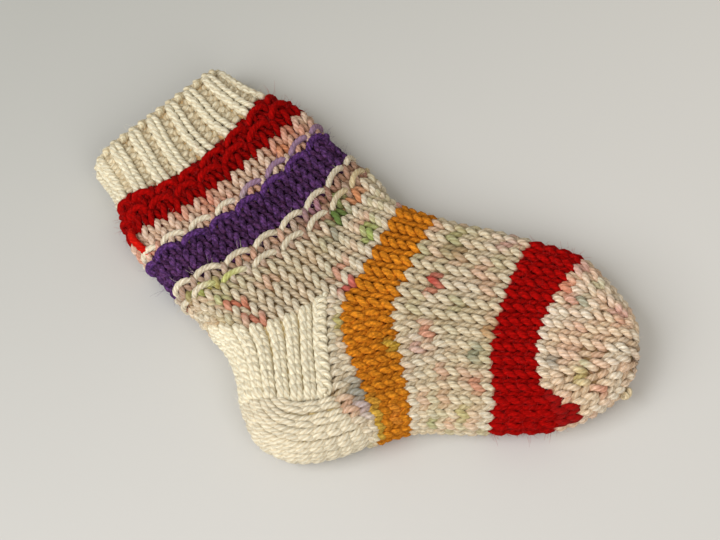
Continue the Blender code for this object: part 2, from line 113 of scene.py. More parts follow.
FRONT_M = [(r, m) for r, b, m, f in LEG[:-1]] + [(25.0 + row[0], row[5]) for row in FOOT]
FRONT_F = [(r, f) for r, b, m, f in LEG[:-1]] + [(25.0 + row[0], row[7]) for row in FOOT]
FRONT_D = ([(r, tuple(np.array(b) * -0.125 + np.array(m) * 0.75 + np.array(f) * 0.375)) for r, b, m, f in LEG[:-1]]
           + [(25.0 + row[0], row[6]) for row in FOOT])
BACK_B = [(r, b) for r, b, m, f in LEG]
BACK_E = ([(r, tuple(np.array(b) * 0.375 + np.array(m) * 0.75 - np.array(f) * 0.125)) for r, b, m, f in LEG[:-1]]
          + [(25.0, (-22.5, -31.0))])


def spline(pts, n, start=None, end=None):
    m = len(pts)
    h = [max(1e-6, float(np.linalg.norm(q - p)) ** 0.9) for p, q in zip(pts[:-1], pts[1:])]
    tg = []
    for i in range(m):
        if i == 0:
            tg.append((pts[1] - pts[0]) / h[0])
        elif i == m - 1:
            tg.append((pts[-1] - pts[-2]) / h[-1])
        else:
            u, v = (pts[i] - pts[i - 1]) / h[i - 1], (pts[i + 1] - pts[i]) / h[i]
            tg.append((u * h[i] + v * h[i - 1]) / (h[i - 1] + h[i]))
    if start is not None:
        tg[0] = start * float(np.linalg.norm(tg[0]))
    if end is not None:
        tg[-1] = end * float(np.linalg.norm(tg[-1]))
    out = []
    q = np.arange(n)[:, None] / n
    for i in range(m - 1):
        out.append((2 * q ** 3 - 3 * q ** 2 + 1) * pts[i] + (q ** 3 - 2 * q ** 2 + q) * h[i] * tg[i]
                   + (3 * q ** 2 - 2 * q ** 3) * pts[i + 1] + (q ** 3 - q ** 2) * h[i] * tg[i + 1])
    out.append(pts[-1][None])
    return np.vstack(out)


def unit(v):
    return v / max(1e-9, float(np.linalg.norm(v)))


def row_curve(r, foot):
    """Plan curve of row r, fold to fold, and the index of the gusset line on it."""
    if not foot:
        pts = [hermite(BACK_B, r), hermite(BACK_E, r), hermite(FRONT_M, r), hermite(FRONT_D, r), hermite(FRONT_F, r)]
        mid = 2
    else:
        pts = [hermite(column(FOOT, c), r - 25.0) for c in range(1, 5)]
        pts += [hermite(FRONT_M, r), hermite(FRONT_D, r), hermite(FRONT_F, r)]
        mid = 4
    through = unit(pts[mid + 1] - pts[mid - 1])
    if not foot:
        front = back = through
    else:
        w = min(1.0, max(0.0, (r - 25.0) / 6.0))
        w = w * w * (3 - 2 * w)
        leg_way = unit(np.array([-0.5, -2.5]) - np.array([-22.5, -31.0]))
        front = unit(leg_way * (1 - w) + through * w)
        back = unit(unit(pts[mid] - pts[mid - 1]) * (1 - w) + through * w)
    head = spline(pts[:mid + 1], 24, end=back)
    tail = spline(pts[mid:], 36, start=front)
    return np.vstack([head[:-1], tail]), len(head) - 1


def outline():
    back = [hermite(BACK_B, r) for r in np.linspace(0, 25, 40)]
    heel = [hermite(column(FLAP, 1), j) for j in np.linspace(0.5, 14, 18)]
    heel += [hermite(column(TURN, 1), j) for j in np.linspace(0.5, 12, 22)]
    sole = [hermite(column(FOOT, 1), f) for f in np.linspace(0.5, 27, 50)]
    tip = [np.array(p, float) for p in FOOT[-1][2:7]]
    front = [hermite(FRONT_F, r) for r in np.linspace(52, 0, 90)]
    b0, f0 = hermite(BACK_B, 0), hermite(FRONT_F, 0)
    away = hermite(FRONT_M, 0) - hermite(FRONT_M, 5)
    away = away / np.linalg.norm(away) * 40.0
    return np.array([b0 + away] + back + heel + sole + tip + front + [f0 + away])


RIM = outline()


def fold_distance(xy):
    a = RIM[:, None, :]
    b = np.roll(RIM, -1, axis=0)[:, None, :]
    ab = b - a
    ll = np.maximum((ab ** 2).sum(2), 1e-12)
    t = np.clip(((xy[None] - a) * ab).sum(2) / ll, 0, 1)
    p = a + t[:, :, None] * ab
    return np.sqrt(((xy[None] - p) ** 2).sum(2)).min(0)


HALF = [(0.0, (6.6,)), (5.0, (6.8,)), (8.5, (7.4,)), (11.5, (6.9,)), (15.0, (7.6,)), (18.0, (7.0,)), (25.0, (7.4,)),
        (33.0, (7.7,)), (43.0, (7.7,)), (52.0, (7.0,))]


def sheet_height(xy, half, side, lift=0.0):
    d = fold_distance(xy)
    u = np.clip(d / FOLD, 0, 1)
    arc = np.sqrt(np.maximum(0.0, 1 - (1 - u) ** 2))
    if side > 0:
        return half + arc * half + 0.9 * (1 - np.exp(-np.maximum(d - 4, 0) / 14.0))
    return half - arc * (half - lift)


def smooth(a, b, x):
    u = np.clip((x - a) / (b - a), 0, 1)
    return u * u * (3 - 2 * u)


def lift_at(r):
    return 1.7 * float(smooth(5.8, 7.4, r) * (1 - smooth(18.6, 21.0, r)))


NS = 48                                       # samples per quarter of a round
ANG = np.radians(np.arange(0, 90.1, 7.5))


class Grid:
    """Smooth outer surface addressed by row and by place on the round, with its outward normal."""

    def __init__(self, r0, dr, pts, wrap):
        self.r0, self.dr, self.p, self.wrap = r0, dr, pts, wrap
        if wrap:
            du = np.roll(pts, -1, axis=1) - np.roll(pts, 1, axis=1)
        else:
            du = np.gradient(pts, axis=1)
        dv = np.gradient(pts, axis=0)
        n = np.cross(du, dv)
        n /= np.maximum(np.linalg.norm(n, axis=2), 1e-9)[:, :, None]
        self.n = n

    def at(self, r, q):
        """Point and normal at rows r and sample places q (arrays)."""
        nr, nq = self.p.shape[:2]
        fr = np.clip((r - self.r0) / self.dr, 0, nr - 1.001)
        i = fr.astype(int)
        a = (fr - i)[:, None]
        if self.wrap:
            q = np.mod(q, nq)
            j = q.astype(int) % nq
            k = (j + 1) % nq
        else:
            q = np.clip(q, 0, nq - 1.001)
            j = q.astype(int)
            k = j + 1
        b = (q - np.floor(q))[:, None]

        def mix(m):
            return (m[i, j] * (1 - a) * (1 - b) + m[i + 1, j] * a * (1 - b)
                    + m[i, k] * (1 - a) * b + m[i + 1, k] * a * b)
        n = mix(self.n)
        n /= np.maximum(np.linalg.norm(n, axis=1), 1e-9)[:, None]
        return mix(self.p), n


def round_loop(r, foot):
    curve, mid = row_curve(r, foot)
    seg = np.sqrt((np.diff(curve, axis=0) ** 2).sum(1))
    s = np.concatenate([[0], np.cumsum(seg)])
    length, sm = s[-1], s[mid]
    rr = min(FOLD, length / 2.6)
    d = np.concatenate([rr * (1 - np.cos(ANG)), np.linspace(rr, length - rr, 50)[1:-1], length - rr * (1 - np.cos(ANG)), [sm]])
    d = np.unique(np.round(d, 6))
    m = int(np.argmin(abs(d - sm)))
    xy = np.stack([np.interp(d, s, curve[:, 0]), np.interp(d, s, curve[:, 1])], 1)
    half = float(hermite(HALF, r)[0])
    out = []
    for side in (1, -1):
        z = sheet_height(xy, half, side, lift_at(r) if side < 0 else 0.0)
        z[0] = z[-1] = half
        p = np.column_stack([xy, z])
        t = np.concatenate([[0], np.cumsum(np.sqrt((np.diff(p, axis=0) ** 2).sum(1)))])
        a = np.linspace(0, t[m], NS + 1)[:-1]
        b = np.linspace(t[m], t[-1], NS + 1)
        places = np.concatenate([a, b])
        out.append(np.stack([np.interp(places, t, p[:, c]) for c in range(3)], 1))
    top, bot = out
    return np.vstack([top[:-1], bot[::-1][:-1]])


def round_grid(r0, r1, foot, dr=0.25):
    rows = np.arange(r0, r1 + 1e-6, dr)
    pts = np.array([round_loop(r, foot) for r in rows])
    g = Grid(r0, dr, pts, True)
    c = pts.mean(axis=1, keepdims=True)
    if ((pts - c) * g.n).sum() < 0:
        g.n = -g.n
    return g


def patch_grid(table, kmax, half0, half1, j1, edge):
    """Heel patch: rows along the wales, samples spread evenly over its curved width."""
    rows = np.arange(0.0, j1 + 0.01, 0.25)
    n_side = 96
    pts = []
    for j in rows:
        half = half0 + (half1 - half0) * min(1.0, max(0.0, j / j1))
        p0, p1, p2 = (hermite(column(table, c), j) for c in (1, 2, 3))
        a = np.concatenate([(1 - np.cos(ANG)) * 0.30, np.linspace(0.30, edge / kmax, 40)[1:]])[:, None]
        xy = p0 * (1 - a) * (1 - 2 * a) + p1 * 4 * a * (1 - a) + p2 * a * (2 * a - 1)
        sides = []
        for side in (1, -1):
            z = sheet_height(xy, half, side)
            z[0] = half
            p = np.column_stack([xy, z])
            t = np.concatenate([[0], np.cumsum(np.sqrt((np.diff(p, axis=0) ** 2).sum(1)))])
            places = np.linspace(0, t[-1], n_side + 1)
            sides.append(np.stack([np.interp(places, t, p[:, c]) for c in range(3)], 1))
        pts.append(np.vstack([sides[1][::-1][:-1], sides[0]]))
    pts = np.array(pts)
    g = Grid(0.0, 0.25, pts, False)
    up = g.n[:, n_side + 20:, 2].sum() - g.n[:, :n_side - 20, 2].sum()
    if up < 0:
        g.n = -g.n
    g.side = n_side
    return g


LEG_G = round_grid(-2.0, 26.5, False)
FOOT_G = round_grid(23.5, 52.0, True)
FLAP_G = patch_grid(FLAP, 8.0, 7.4, 7.5, 14.0, 7.95)
TURN_G = patch_grid(TURN, 4.0, 7.5, 7.55, 12.0, 3.98)

rng = np.random.default_rng(11)


# ---------------------------------------------------------------- yarn
# colour exponents that turn the painted shade of creases warm
WARM = np.array([0.72, 1.0, 1.38])


class Yarn:
    """Collects strands and liners of one piece."""

    SIDES = 8

    def __init__(self):
        self.v, self.f, self.tint, self.ply = [], [], [], []
        self.count = 0
        self.core = []

    def strand(self, path, radius, tint, dark=None, turn=6.0, cap=True, groove_shade=0.72):
        """Plied strand: the section's ridges wind round the path, one full turn every `turn` mm."""
        p = np.asarray(path, float)
        n = len(p)
        t = np.empty_like(p)
        t[1:-1] = p[2:] - p[:-2]
        t[0], t[-1] = p[1] - p[0], p[-1] - p[-2]
        t /= np.maximum(np.linalg.norm(t, axis=1), 1e-9)[:, None]
        seg = np.sqrt((np.diff(p, axis=0) ** 2).sum(1))
        s = np.concatenate([[0], np.cumsum(seg)])
        ref = np.array([0.0, 0.0, 1.0])
        if abs(t[0, 2]) > 0.9:
            ref = np.array([1.0, 0.0, 0.0])
        u = np.empty_like(p)
        a = np.cross(t[0], ref)
        u[0] = a / np.linalg.norm(a)
        # carry the frame along the strand without turning it about the strand
        tl, pl, ul = t.tolist(), p.tolist(), u[0].tolist()
        frames = [ul]
        for i in range(n - 1):
            v1 = [pl[i + 1][c] - pl[i][c] for c in range(3)]
            c1 = v1[0] ** 2 + v1[1] ** 2 + v1[2] ** 2 or 1e-12
            k = 2 * (v1[0] * ul[0] + v1[1] * ul[1] + v1[2] * ul[2]) / c1
            rl = [ul[c] - k * v1[c] for c in range(3)]
            k = 2 * (v1[0] * tl[i][0] + v1[1] * tl[i][1] + v1[2] * tl[i][2]) / c1
            ta = [tl[i][c] - k * v1[c] for c in range(3)]
            v2 = [tl[i + 1][c] - ta[c] for c in range(3)]
            c2 = v2[0] ** 2 + v2[1] ** 2 + v2[2] ** 2 or 1e-12
            k = 2 * (v2[0] * rl[0] + v2[1] * rl[1] + v2[2] * rl[2]) / c2
            ul = [rl[c] - k * v2[c] for c in range(3)]
            frames.append(ul)
        u = np.array(frames)
        u -= t * (u * t).sum(1)[:, None]
        u /= np.maximum(np.linalg.norm(u, axis=1), 1e-9)[:, None]
        w = np.cross(t, u)
        S = self.SIDES
        k = np.arange(S)
        phi = 2 * np.pi * k / S
        ang = phi[None, :] - (2 * np.pi / turn) * s[:, None]
        rad = np.broadcast_to(np.asarray(radius, float), (n,))[:, None] * np.where(k % 2 == 0, 1.06, 0.905)[None, :]
        ring = p[:, None, :] + rad[:, :, None] * (np.cos(ang)[:, :, None] * u[:, None, :] + np.sin(ang)[:, :, None] * w[:, None, :])
        low = 0.06
        z = ring[:, :, 2]
        ring[:, :, 2] = np.where(z < low, low - 0.12 * (1 - np.exp(np.minimum(z - low, 0) / 0.5)) * 0.4, z)
        base = self.count
        idx = base + np.arange(n * S).reshape(n, S)
        q = np.stack([idx[:-1], np.roll(idx[:-1], -1, 1), np.roll(idx[1:], -1, 1), idx[1:]], -1).reshape(-1, 4)
        self.f += q.tolist()
        if cap:
            self.f.append(idx[0][::-1].tolist())
            self.f.append(idx[-1].tolist())
        self.v.append(ring.reshape(-1, 3))
        tint = np.broadcast_to(np.asarray(tint, float), (n, 3))
        self.core.append((p, t, u, w, rad[:, 0], s, tint))
        # painted light: ply ridges are painted a little lighter (1.04), ply grooves darker (the groove factor)
        shade = np.where(k % 2 == 0, 1.04, groove_shade)
        if dark is None:
            dark = np.ones(n)
        # painted shade: yarn at the back of the layer (dark) and the ply grooves are painted darker; these painted
        # creases stay warm, as light that reaches them has bounced off the wool
        col = tint[:, None, :] * (shade[None, :, None] * np.asarray(dark)[:, None, None]) ** WARM
        self.tint.append(col.reshape(-1, 3))
        start = float(rng.uniform(0, 400))
        ply = np.stack([np.broadcast_to(np.cos(phi), (n, S)), np.broadcast_to(np.sin(phi), (n, S)),
                        np.broadcast_to((s + start)[:, None], (n, S))], -1)
        self.ply.append(ply.reshape(-1, 3))
        self.count += n * S

    def fuzz(self, spacing, reach=2.6, thick=0.026):
        """Loose wool fibres: thin curved closed hairs rooted in the strands, one every `spacing` mm of yarn."""
        for p, t, u, w, rad, s, tint in self.core:
            m = int(s[-1] / spacing)
            if m < 1:
                continue
            at = np.sort(rng.uniform(0, s[-1], m))
            i = np.clip(np.searchsorted(s, at), 1, len(p) - 2)
            a = rng.uniform(0, 2 * np.pi, m)
            out = np.cos(a)[:, None] * u[i] + np.sin(a)[:, None] * w[i]
            root = p[i] + out * (rad[i] * 0.8)[:, None]
            way = out * 0.75 + t[i] * rng.normal(0, 0.7, m)[:, None] + rng.normal(0, 0.30, (m, 3))
            way /= np.linalg.norm(way, axis=1)[:, None]
            bend = rng.normal(0, 1.0, (m, 3))
            bend -= way * (bend * way).sum(1)[:, None]
            long = reach * rng.uniform(0.45, 1.25, m) * np.where(rng.uniform(0, 1, m) < 0.06, 1.6, 1.0)
            k = np.linspace(0, 1, 6)
            line = (root[:, None, :] + way[:, None, :] * (long[:, None] * k[None, :])[:, :, None]
                    + bend[:, None, :] * (0.42 * long[:, None] * k[None, :] ** 2)[:, :, None])
            line[:, :, 2] = np.maximum(line[:, :, 2], 0.15 + 0.02 * k[None, :])
            d = np.gradient(line, axis=1)
            d /= np.maximum(np.linalg.norm(d, axis=2), 1e-9)[:, :, None]
            side = np.cross(d, np.array([0.31, 0.52, 0.79]))
            side /= np.maximum(np.linalg.norm(side, axis=2), 1e-9)[:, :, None]
            up = np.cross(d, side)
            r = thick * (1 - 0.55 * k)
            for h in range(m):
                ring = []
                for c in range(3):
                    g = 2 * math.pi * c / 3
                    ring.append(line[h] + (math.cos(g) * side[h] + math.sin(g) * up[h]) * r[:, None])
                ring = np.stack(ring, 1)
                base = self.count
                idx = base + np.arange(18).reshape(6, 3)
                q = np.stack([idx[:-1], np.roll(idx[:-1], -1, 1), np.roll(idx[1:], -1, 1), idx[1:]], -1).reshape(-1, 4)
                self.f += q.tolist()
                self.f.append(idx[0][::-1].tolist())
                self.f.append(idx[-1].tolist())
                self.v.append(ring.reshape(-1, 3))
                self.tint.append(np.broadcast_to(np.minimum(tint[i[h]] * 1.1 + 0.02, 1.0), (18, 3)))
                self.ply.append(np.broadcast_to(np.array([0.0, 0.0, float(at[h])]), (18, 3)))
                self.count += 18

    def liner(self, grid, rows, qs, tint, top=-0.15, low=-0.55):
        """Thin closed band inside the stitches, so that no gap shows right through the layer; its tint is painted
        shade for the gaps.
        """
        nq = len(qs)
        outer, inner = [], []
        for r in rows:
            p, nn = grid.at(np.full(nq, r), qs)
            outer.append(p + nn * (top - DEPTH))
            inner.append(p + nn * (low - DEPTH))
        outer, inner = np.array(outer), np.array(inner)
        for a in (outer, inner):
            a[:, :, 2] = np.maximum(a[:, :, 2], 0.9)
        m = len(rows)
        ids = self.count + np.arange(2 * m * nq).reshape(2, m, nq)
        A, B = ids
        wrap = grid.wrap
        nxt = np.roll(np.arange(nq), -1) if wrap else np.arange(1, nq)
        cur = np.arange(nq) if wrap else np.arange(nq - 1)
        for i in range(m - 1):
            self.f += np.stack([A[i, cur], A[i, nxt], A[i + 1, nxt], A[i + 1, cur]], -1).tolist()
            self.f += np.stack([B[i, cur], B[i + 1, cur], B[i + 1, nxt], B[i, nxt]], -1).tolist()
        self.f += np.stack([A[0, cur], B[0, cur], B[0, nxt], A[0, nxt]], -1).tolist()
        self.f += np.stack([A[-1, cur], A[-1, nxt], B[-1, nxt], B[-1, cur]], -1).tolist()
        if not wrap:
            for c, flip in ((0, False), (nq - 1, True)):
                for i in range(m - 1):
                    f = [int(A[i, c]), int(A[i + 1, c]), int(B[i + 1, c]), int(B[i, c])]
                    self.f.append(f[::-1] if flip else f)
        self.v.append(np.vstack([outer.reshape(-1, 3), inner.reshape(-1, 3)]))
        self.tint.append(np.broadcast_to(np.asarray(tint, float), (2 * m * nq, 3)).copy())
        self.ply.append(np.zeros((2 * m * nq, 3)))
        self.count += 2 * m * nq

    def make(self, name, node, slot, material):
        v = (np.vstack(self.v) + SHIFT) * MM
        mesh = bpy.data.meshes.new(name)
        mesh.from_pydata(v.tolist(), [], self.f)
        mesh.update()
        tint = np.clip(np.vstack(self.tint), 0, 1)
        ca = mesh.attributes.new("tint", "FLOAT_COLOR", "POINT")
        ca.data.foreach_set("color", np.column_stack([tint, np.ones(len(tint))]).ravel().astype(np.float32))
        pa = mesh.attributes.new("ply", "FLOAT_VECTOR", "POINT")
        pa.data.foreach_set("vector", np.vstack(self.ply).ravel().astype(np.float32))
        mesh.polygons.foreach_set("use_smooth", np.ones(len(mesh.polygons), bool))
        ob = bpy.data.objects.new(name, mesh)
        bpy.context.scene.collection.objects.link(ob)
        mesh.materials.append(material)
        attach(ob, "root")
        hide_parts(node)
        return ob


# ---------------------------------------------------------------- stitches round the tube
def gusset_count(r):
    """Stitches between the sole fold and the gusset line."""
    f = np.asarray(r, float) - 25.0
    return np.where(f < 10, 13.0 - 0.5 * np.maximum(f, 0), 8.0)


def toe_count(r):
    f = np.asarray(r, float) - 25.0
    return np.clip(8.0 - (f - 18.0) * (6.0 / 9.0), 2.0, 8.0)


def stitches(row):
    """Stitches of one round in order: (anchor quarter, direction, kind, left column, right column), None = decrease line."""
    rc = row + 0.5
    out = []
    if row < 25:
        for quarter in range(4):
            out += [(quarter, 1, "leg", i, i + 1) for i in range(8)]
        return out
    if row < 43:
        k = int(round(float(gusset_count(rc))))
        out += [(0, 1, "gus", i, i + 1 if i < k - 1 else None) for i in range(k)]
        out += [(1, 1, "leg", i, i + 1) for i in range(8)]
        out += [(2, 1, "leg", i, i + 1) for i in range(8)]
        out += [(4, -1, "gus", i + 1 if i < k - 1 else None, i) for i in range(k - 1, -1, -1)]
        return out
    k = max(1, int(round(float(toe_count(rc)) / 2)))
    for quarter in range(4):
        out += [(quarter, 1, "toe", i, i + 1 if i < k - 1 else None) for i in range(k)]
        out += [(quarter + 1, -1, "toe", i + 1 if i < k - 1 else None, i) for i in range(k - 1, -1, -1)]
    return out


def turned(r):
    """How far the wales have drifted round the leg, in quarters of a round."""
    return -0.18 * (1 - smooth(18.0, 26.0, r))


def place(st, x, r):
    """Sample place on the round for stitch st at share x of its width, at rows r."""
    anchor, way, kind, cl, cr = st
    if kind == "leg":
        n, lim = np.full_like(r, 8.0), np.full_like(r, 8.0)
    elif kind == "gus":
        n = gusset_count(r)
        lim = n
    else:
        n = toe_count(r)
        lim = n / 2
    a = lim if cl is None else np.full_like(r, float(cl))
    b = lim if cr is None else np.full_like(r, float(cr))
    c = np.minimum(a + (b - a) * x, lim + 0.25)
    return (anchor + way * c / n + turned(r)) * NS


SEG = 22
TT = np.arange(SEG) * 2 * np.pi / SEG


def knit_path(rc, pitch, grid, a=0.19, b=0.80, d=0.92, skew=0.125, tilt=0.32, pinch=0.0, shift=0.0, jitter=0.035,
              purl=None, rib_rise=0.0, share=1.0):
    """Path of one round of stitches centred on row rc, with the row coordinate and place of every point."""
    sts = stitches(int(math.floor(rc)))
    # start the strand under the foot, so its two ends lie on the underside
    cut = next((i for i, s in enumerate(sts) if s[0] >= 3 and not (s[0] == 3 and s[1] == -1)), 0)
    sts = sts[cut:] + sts[:cut]
    P, Q, R, Z = [], [], [], []
    m = len(sts)
    if purl is not None:
        skew = 0.05
    for i, st in enumerate(sts):
        t = TT if i < m - 1 else np.append(TT, 2 * np.pi)
        jx, jy, jz = rng.normal(0, jitter, 3)
        x = t / (2 * np.pi) + a * np.sin(2 * t) + pinch * np.sin(t) + skew * np.cos(t)
        y = -b * np.cos(t) + shift
        zz = -d * np.cos(2 * t) + tilt * np.sin(t)
        w = np.sin(t / 2) ** 2
        x = x + jx * w
        y = y + jy * w
        zz = zz + jz * 2.2 * w
        if purl is not None:
            # knit stitches stand forward, purl stitches turn their loops to the front and sink
            part = t / (2 * np.pi)
            k = (purl + i + cut) % 2
            edge = np.minimum(smooth(0, 0.14, part), smooth(0, 0.14, 1 - part))
            s = edge if k == 0 else -edge
            zz = -d * np.cos(2 * t) * s + (rib_rise if k == 0 else -rib_rise) * edge
            zz = zz + jz * 2.2 * w
            # knit stitches take more of the width than purl stitches
            wide = share if k == 0 else 2 - share
            lead = 0.0 if k == 0 else share - 1
            x = x * wide + lead
        r = rc + y * pitch
        q = place(st, x, r)
        P.append(np.sin(t))
        Q.append(q)
        R.append(r)
        Z.append(zz)
    q, r, z = np.concatenate(Q), np.concatenate(R), np.concatenate(Z)
    p, n = grid.at(r, q)
    return p + n * (z - DEPTH)[:, None], r, q, z, np.concatenate(P)


# ---------------------------------------------------------------- colours
def srgb(r, g, b):
    c = np.array([r, g, b]) / 255.0
    return np.where(c <= 0.04045, c / 12.92, ((c + 0.055) / 1.055) ** 2.4)


IVORY = srgb(236, 226, 196)
RED = srgb(166, 10, 8)
GOLD = srgb(206, 132, 38)
PURPLE = srgb(74, 44, 96)
PEACH = srgb(222, 160, 130)
WHITE = srgb(232, 222, 200)
PALE = srgb(228, 212, 178)
GREY = srgb(200, 194, 152)
PINKISH = srgb(226, 180, 152)
LILAC = srgb(158, 128, 158)
SALMON = srgb(216, 128, 100)
ROSE = srgb(206, 138, 138)
LEAF = srgb(150, 160, 92)
OLIVE = srgb(140, 122, 62)
MOSS = srgb(104, 112, 66)
LIME = srgb(186, 176, 84)
SLATE = srgb(136, 140, 134)
AMBER = srgb(204, 132, 60)
RUST = srgb(164, 88, 54)
TEAL = srgb(122, 142, 122)


def wander(n_key, x, scale):
    """Smooth repeatable wave between -1 and 1 along x."""
    ph = np.random.default_rng(n_key).uniform(0, 6.28, 4)
    return (np.sin(x / scale + ph[0]) + 0.7 * np.sin(x / scale * 1.9 + ph[1]) + 0.5 * np.sin(x / scale * 3.7 + ph[2])) / 2.2


# short dyed spots: row, column (0 sole fold, 8 gusset line, 16 front fold), half length in columns, colour, strength
SPOTS = [
    (11.25, 13.6, 0.7, srgb(226, 140, 84), 0.9), (10.4, 14.6, 0.6, SALMON, 0.8), (10.4, 8.2, 0.7, SALMON, 0.7),
    (24.25, 9.5, 0.9, SALMON, 0.75), (21.75, 3.7, 0.9, srgb(214, 112, 84), 1.0), (24.05, 3.8, 0.8, srgb(214, 112, 84), 0.9),
    (25.7, 12.25, 0.9, srgb(158, 180, 88), 1.05), (18.6, 3.1, 1.1, srgb(170, 186, 104), 1.0), (18.5, 3.9, 0.8, LIME, 0.9),
    (24.4, 12.6, 0.7, srgb(176, 188, 104), 0.9), (20.2, 3.4, 0.7, srgb(180, 190, 112), 0.7),
    (19.5, 12.4, 0.9, srgb(92, 126, 44), 1.1), (19.75, 14.2, 0.9, srgb(214, 132, 74), 1.0), (26.25, 15.3, 0.6, ROSE, 0.8),
    (18.2, 13.4, 0.6, srgb(120, 150, 70), 0.9),
    (16.9, 12.1, 0.7, ROSE, 0.7), (17.45, 11.75, 0.8, LILAC, 0.6), (20.1, 11.2, 0.6, SLATE, 0.6),
    (17.35, 9.2, 0.8, PINKISH, 0.9), (17.5, 6.75, 0.8, PINKISH, 0.9), (26.15, 8.9, 0.8, srgb(206, 84, 78), 1.05),
    (33.7, 6.9, 0.8, SALMON, 0.8), (37.55, 3.4, 0.9, SALMON, 0.8), (44.25, 10.6, 0.8, SALMON, 0.7),
    (47.3, 1.8, 0.8, SALMON, 0.7), (49.0, 11.9, 0.8, ROSE, 0.7), (33.4, 10.4, 0.55, srgb(196, 66, 56), 1.1),
    (33.5, 9.7, 0.5, SALMON, 0.9), (33.8, 13.6, 0.8, LEAF, 0.7), (34.0, 12.5, 0.5, OLIVE, 0.7),
    (26.4, 3.1, 0.6, SLATE, 0.7), (26.05, 2.6, 0.4, SLATE, 0.6), (44.3, 5.2, 0.7, SLATE, 0.7),
    (37.8, 5.7, 0.7, TEAL, 0.7), (26.75, 6.6, 0.6, LIME, 0.8), (46.5, 3.7, 0.8, LIME, 0.7),
    (30.4, 5.5, 0.6, LIME, 0.7), (49.15, 5.8, 0.8, WHITE, 0.8), (37.6, 15.6, 0.6, ROSE, 0.7),
    (37.45, 13.7, 0.6, ROSE, 0.7), (32.3, 5.7, 0.6, ROSE, 0.6), (43.5, 13.6, 0.9, ROSE, 0.7), (43.6, 11.6, 0.8, srgb(216, 124, 92), 0.9),
    (38.7, 7.6, 0.8, srgb(196, 146, 92), 0.9), (36.45, 1.25, 0.7, LIME, 0.6), (33.2, 0.5, 0.6, LEAF, 0.7),
    (29.9, 1.25, 0.6, AMBER, 0.7), (45.7, 11.0, 0.8, TEAL, 0.7), (49.1, 10.3, 0.6, RUST, 0.6),
    (25.6, 2.2, 0.7, PINKISH, 0.9), (26.5, 1.9, 0.6, LILAC, 0.6), (35.5, 9.0, 0.8, GREY, 0.9),
    (36.4, 11.5, 0.9, PINKISH, 0.8), (31.6, 12.0, 0.9, GREY, 0.9), (22.5, 8.0, 0.8, GREY, 0.9),
    (23.2, 12.8, 0.8, PINKISH, 0.8), (20.9, 6.3, 0.8, PINKISH, 0.8), (46.6, 8.2, 0.7, PINKISH, 0.8),
    (47.9, 5.0, 0.6, GREY, 0.9), (45.2, 13.2, 0.7, GREY, 0.8), (34.8, 4.2, 0.8, PINKISH, 0.8),
]


def variegated(r_row, u, base=PALE, second=GREY, third=PINKISH, key=5):
    """Softly changing dye: beige that drifts to grey-green, pinkish and cream within a stitch or two."""
    along = np.floor(r_row) * 32.0 + u * 8.0
    a = np.clip(wander(key, along, 1.9) * 1.3, 0, 1)[:, None]
    b = np.clip(wander(key + 1, along, 1.5) * 1.5 - 0.25, 0, 1)[:, None]
    c = np.clip(wander(key + 2, along, 2.7) * 1.6, 0, 1)[:, None]
    col = base * (1 - 0.6 * a) + second * 0.6 * a
    col = col * (1 - 0.6 * b) + third * 0.6 * b
    col = col * (1 - 0.7 * c) + WHITE * 0.7 * c
    return col


def spots(col, r_row, u):
    for row, col_at, width, shade, power in SPOTS:
        near = 0.85 * power * np.exp(-((u * 8 - col_at) / (0.85 * width)) ** 4) * (abs(r_row - row) < 0.52)
        col = col * (1 - near[:, None]) + shade * near[:, None]
    return col


# section colour factors; the leg's red band (0.80) is painted darker than the same red on the toe, painted shade for
# the dimmer leg
TONE_AND_SHADE = {
    "ivory": np.array([0.96, 0.99, 1.06]), "vari": np.array([0.87, 0.885, 0.93]), "rose": np.array([0.85, 0.86, 0.92]),
    "toe": np.array([1.02, 1.06, 1.16]), "peach": np.array([0.90, 0.83, 0.85]), "foot": np.array([0.875, 0.885, 0.92]),
    "gold": np.array([1.02, 0.97, 0.80]), "purple": np.array([0.98, 1.02, 0.84]), "red": 0.80,
}
EDGES = {"foot": (None, RED, 0, 38.98), "toe": (RED, None, 42.98, 99)}


